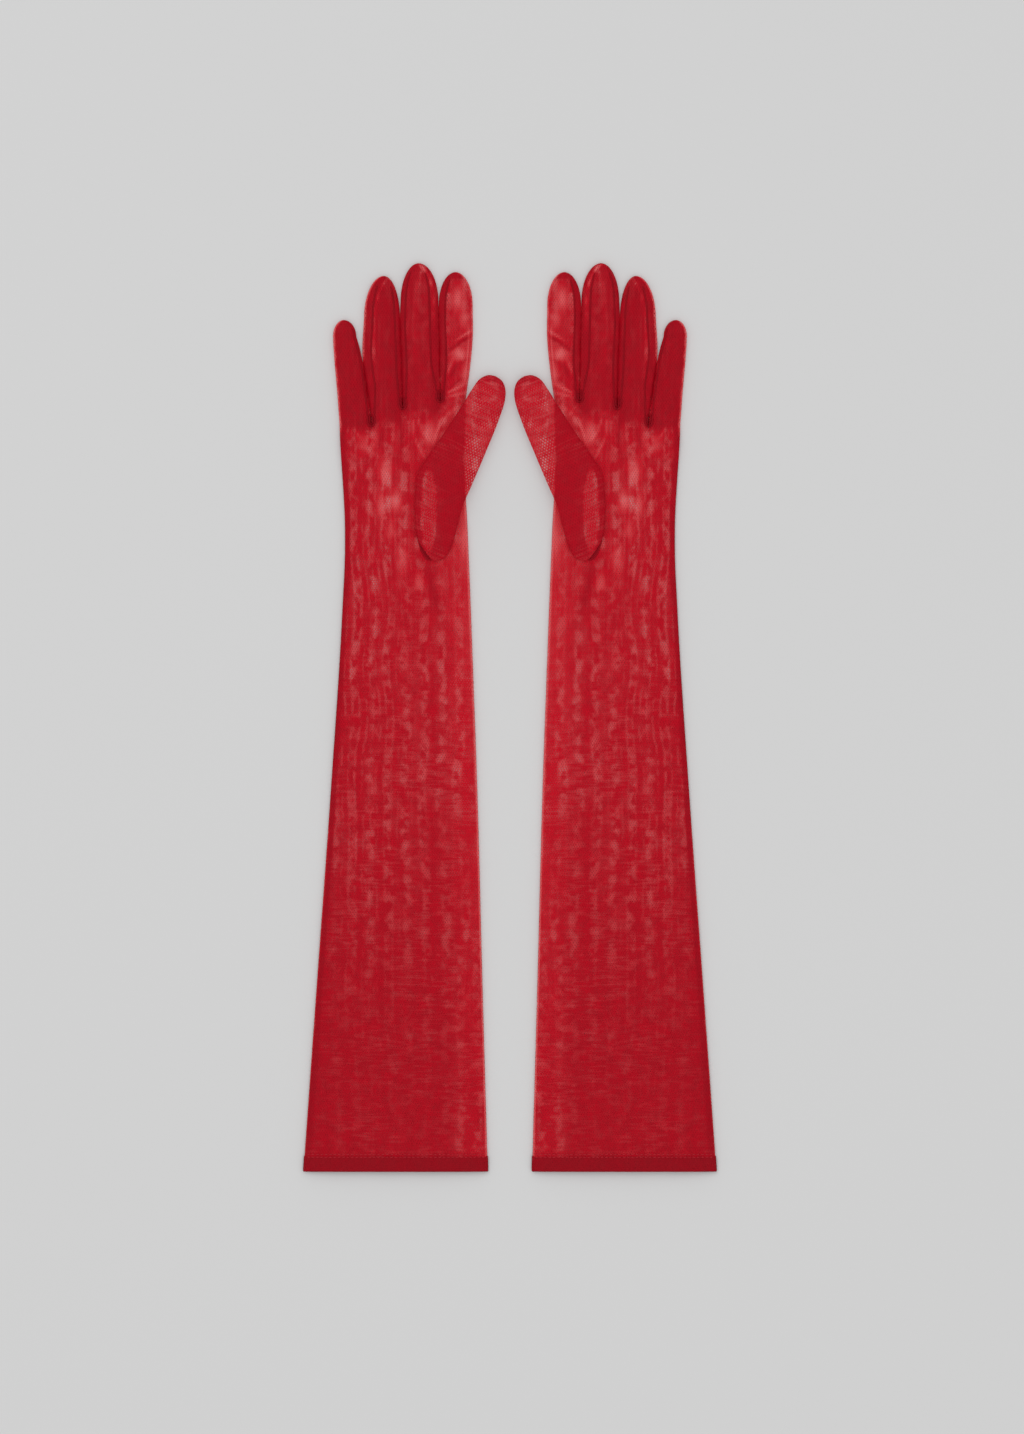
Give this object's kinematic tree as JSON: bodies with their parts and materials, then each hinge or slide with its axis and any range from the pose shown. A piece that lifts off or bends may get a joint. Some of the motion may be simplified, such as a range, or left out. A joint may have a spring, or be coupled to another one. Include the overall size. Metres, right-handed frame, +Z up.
{
  "type": "opera gloves",
  "caption": "Pair of long sheer mesh gloves lying palms up, sewn from a trank, set-in thumbs and fourchettes, that bend at elbow, wrist, knuckles and thumbs.",
  "frame": {"origin": "middle of the pair's footprint, on the surface it lies on", "axes": "+Y from the hems towards the fingertips, +Z up out of the palms, X across the pair, whose mirror plane is X = 0"},
  "size_m": [0.2606, 0.5726, 0.0133],
  "materials": {
    "glove_mesh": "satin",
    "thumb_mesh": "satin",
    "fourchette_mesh": "satin",
    "hem_mesh": "satin",
    "seam_thread": "matte"
  },
  "bodies": {
    "right_upper_body": {"right_upper_sleeve": "glove_mesh", "right_cuff_hem": "hem_mesh", "right_hem_stitching": "seam_thread", "right_upper_side_seam": "seam_thread"},
    "right_forearm_body": {"right_forearm_sleeve": "glove_mesh", "right_forearm_side_seam": "seam_thread"},
    "right_hand_body": {"right_hand_trank": "glove_mesh", "right_hand_side_seam": "seam_thread", "right_thumb_hole_seam": "seam_thread", "right_thumb_base": "thumb_mesh", "right_crotch_index_middle": "fourchette_mesh", "right_crotch_middle_ring": "fourchette_mesh", "right_crotch_ring_little": "fourchette_mesh"},
    "right_index_body": {"right_index_palm_panel": "glove_mesh", "right_index_back_panel": "glove_mesh", "right_index_fourchette": "fourchette_mesh"},
    "right_middle_body": {"right_middle_palm_panel": "glove_mesh", "right_middle_back_panel": "glove_mesh", "right_middle_fourchette_index_side": "fourchette_mesh", "right_middle_fourchette_ring_side": "fourchette_mesh"},
    "right_ring_body": {"right_ring_palm_panel": "glove_mesh", "right_ring_back_panel": "glove_mesh", "right_ring_fourchette_middle_side": "fourchette_mesh", "right_ring_fourchette_little_side": "fourchette_mesh"},
    "right_little_body": {"right_little_palm_panel": "glove_mesh", "right_little_back_panel": "glove_mesh", "right_little_fourchette": "fourchette_mesh", "right_little_side_seam": "seam_thread"},
    "right_thumb_body": {"right_thumb_sheath": "thumb_mesh"},
    "left_upper_body": {"left_upper_sleeve": "glove_mesh", "left_cuff_hem": "hem_mesh", "left_hem_stitching": "seam_thread", "left_upper_side_seam": "seam_thread"},
    "left_forearm_body": {"left_forearm_sleeve": "glove_mesh", "left_forearm_side_seam": "seam_thread"},
    "left_hand_body": {"left_hand_trank": "glove_mesh", "left_hand_side_seam": "seam_thread", "left_thumb_hole_seam": "seam_thread", "left_thumb_base": "thumb_mesh", "left_crotch_index_middle": "fourchette_mesh", "left_crotch_middle_ring": "fourchette_mesh", "left_crotch_ring_little": "fourchette_mesh"},
    "left_index_body": {"left_index_palm_panel": "glove_mesh", "left_index_back_panel": "glove_mesh", "left_index_fourchette": "fourchette_mesh"},
    "left_middle_body": {"left_middle_palm_panel": "glove_mesh", "left_middle_back_panel": "glove_mesh", "left_middle_fourchette_index_side": "fourchette_mesh", "left_middle_fourchette_ring_side": "fourchette_mesh"},
    "left_ring_body": {"left_ring_palm_panel": "glove_mesh", "left_ring_back_panel": "glove_mesh", "left_ring_fourchette_middle_side": "fourchette_mesh", "left_ring_fourchette_little_side": "fourchette_mesh"},
    "left_little_body": {"left_little_palm_panel": "glove_mesh", "left_little_back_panel": "glove_mesh", "left_little_fourchette": "fourchette_mesh", "left_little_side_seam": "seam_thread"},
    "left_thumb_body": {"left_thumb_sheath": "thumb_mesh"}
  },
  "joints": [
    {"name": "right_elbow", "type": "hinge", "parent": "right_upper_body", "child": "right_forearm_body", "pos_m": [-0.065, -0.14, 0.007], "axis": [1, 0, 0], "range_deg": [0, 120]},
    {"name": "right_wrist", "type": "hinge", "parent": "right_forearm_body", "child": "right_hand_body", "pos_m": [-0.065, 0.09, 0.007], "axis": [1, 0, 0], "range_deg": [0, 70]},
    {"name": "right_little_knuckle", "type": "hinge", "parent": "right_hand_body", "child": "right_little_body", "pos_m": [-0.0975, 0.185, 0.007], "axis": [1, 0, 0], "range_deg": [0, 85]},
    {"name": "right_ring_knuckle", "type": "hinge", "parent": "right_hand_body", "child": "right_ring_body", "pos_m": [-0.0773, 0.189, 0.007], "axis": [1, 0, 0], "range_deg": [0, 85]},
    {"name": "right_middle_knuckle", "type": "hinge", "parent": "right_hand_body", "child": "right_middle_body", "pos_m": [-0.0557, 0.1943, 0.007], "axis": [1, 0, 0], "range_deg": [0, 85]},
    {"name": "right_index_knuckle", "type": "hinge", "parent": "right_hand_body", "child": "right_index_body", "pos_m": [-0.036, 0.199, 0.007], "axis": [1, 0, 0], "range_deg": [0, 85]},
    {"name": "right_thumb_knuckle", "type": "hinge", "parent": "right_hand_body", "child": "right_thumb_body", "pos_m": [-0.0344, 0.1628, 0.0133], "axis": [0.9272, -0.3746, 0], "range_deg": [0, 70]},
    {"name": "left_elbow", "type": "hinge", "parent": "left_upper_body", "child": "left_forearm_body", "pos_m": [0.065, -0.14, 0.007], "axis": [1, 0, 0], "range_deg": [0, 120]},
    {"name": "left_wrist", "type": "hinge", "parent": "left_forearm_body", "child": "left_hand_body", "pos_m": [0.065, 0.09, 0.007], "axis": [1, 0, 0], "range_deg": [0, 70]},
    {"name": "left_little_knuckle", "type": "hinge", "parent": "left_hand_body", "child": "left_little_body", "pos_m": [0.0975, 0.185, 0.007], "axis": [1, 0, 0], "range_deg": [0, 85]},
    {"name": "left_ring_knuckle", "type": "hinge", "parent": "left_hand_body", "child": "left_ring_body", "pos_m": [0.0773, 0.189, 0.007], "axis": [1, 0, 0], "range_deg": [0, 85]},
    {"name": "left_middle_knuckle", "type": "hinge", "parent": "left_hand_body", "child": "left_middle_body", "pos_m": [0.0557, 0.1943, 0.007], "axis": [1, 0, 0], "range_deg": [0, 85]},
    {"name": "left_index_knuckle", "type": "hinge", "parent": "left_hand_body", "child": "left_index_body", "pos_m": [0.036, 0.199, 0.007], "axis": [1, 0, 0], "range_deg": [0, 85]},
    {"name": "left_thumb_knuckle", "type": "hinge", "parent": "left_hand_body", "child": "left_thumb_body", "pos_m": [0.0344, 0.1628, 0.0133], "axis": [0.9272, 0.3746, 0], "range_deg": [0, 70]},
    {"name": "gloves_apart", "type": "slide", "parent": "right_upper_body", "child": "left_upper_body", "axis": [1, 0, 0], "range_m": [0, 0.12]}
  ]
}
